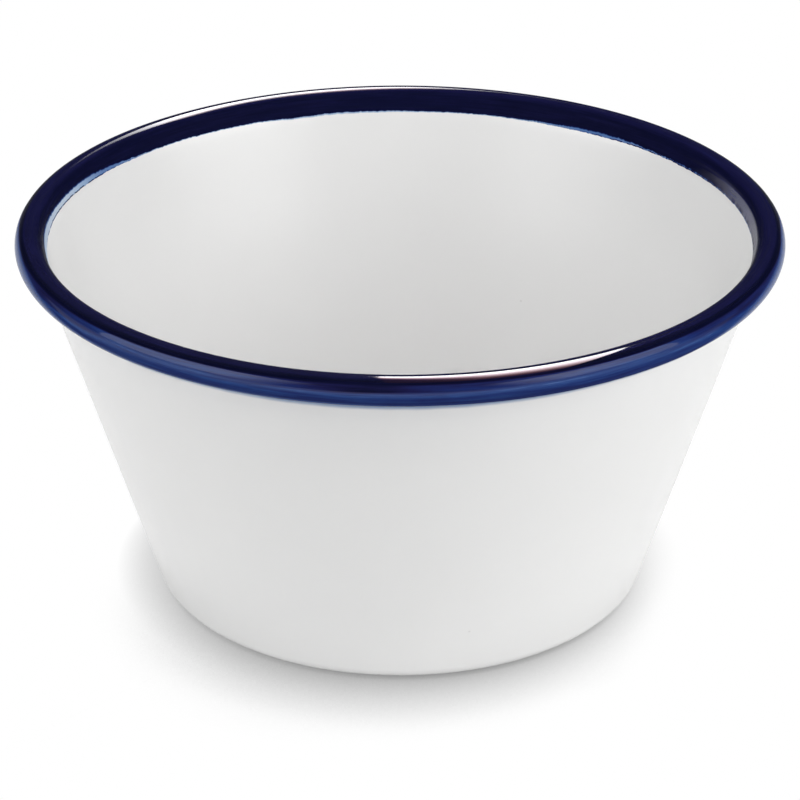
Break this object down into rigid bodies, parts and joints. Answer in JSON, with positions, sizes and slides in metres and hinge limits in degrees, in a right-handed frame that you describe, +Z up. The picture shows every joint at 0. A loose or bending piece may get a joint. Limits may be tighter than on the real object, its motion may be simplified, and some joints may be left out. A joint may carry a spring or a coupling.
{
  "type": "bowl",
  "caption": "Round straight-sided tableware bowl in glossy white melamine with a rolled rim bead brushed in navy blue, for serving soup, salad or cereal.",
  "frame": {"origin": "centre of the round base, on the surface that the bowl stands on", "axes": "+Z up along the bowl's axis of rotation, out of its mouth; +X and +Y are level and alike, and the picture looks along +Y"},
  "size_m": [0.15, 0.15, 0.076],
  "materials": {
    "white_melamine": "moulded melamine, bright neutral white, soft gloss",
    "navy_rim": "brushed-on navy blue colour under a high gloss, streaked along the rim"
  },
  "bodies": {
    "root": {"bowl_shell": "white_melamine", "rim_band": "navy_rim"}
  },
  "joints": []
}
